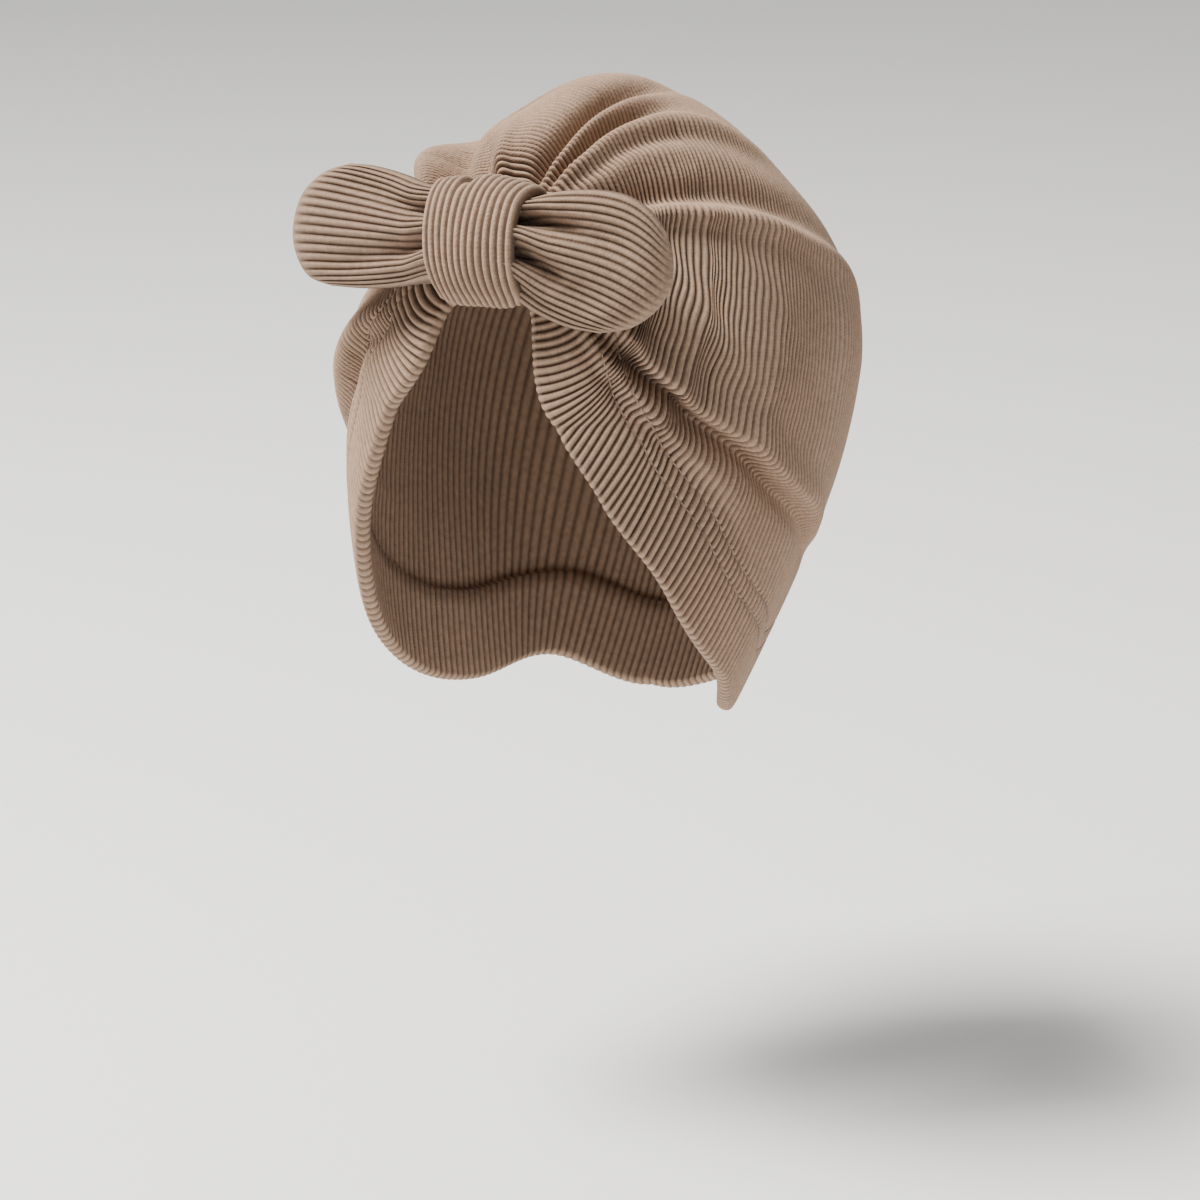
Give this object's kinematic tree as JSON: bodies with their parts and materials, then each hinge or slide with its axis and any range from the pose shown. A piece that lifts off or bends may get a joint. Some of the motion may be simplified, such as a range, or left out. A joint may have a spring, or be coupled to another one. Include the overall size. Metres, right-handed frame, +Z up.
{
  "type": "baby turban hat with knotted bow",
  "caption": "Soft ribbed knit baby turban gathered to a front knot that holds a bow, with a turned-in rim, open underneath for the head.",
  "frame": {"origin": "on the head's upright axis, at the level of the rim's lowest point, in the middle of the opening that the head goes into", "axes": "+Z up, -Y towards the wearer's face and the knot, +X towards the wearer's left"},
  "size_m": [0.1343, 0.1616, 0.1749],
  "materials": {
    "crown_knit": "soft ribbed knit",
    "hem_knit": "soft ribbed knit",
    "knot_knit": "soft ribbed knit",
    "bow_knit": "soft ribbed knit"
  },
  "bodies": {
    "root": {"crown": "crown_knit", "turned_hem": "hem_knit", "knot_band": "knot_knit", "bow": "bow_knit"}
  },
  "joints": []
}
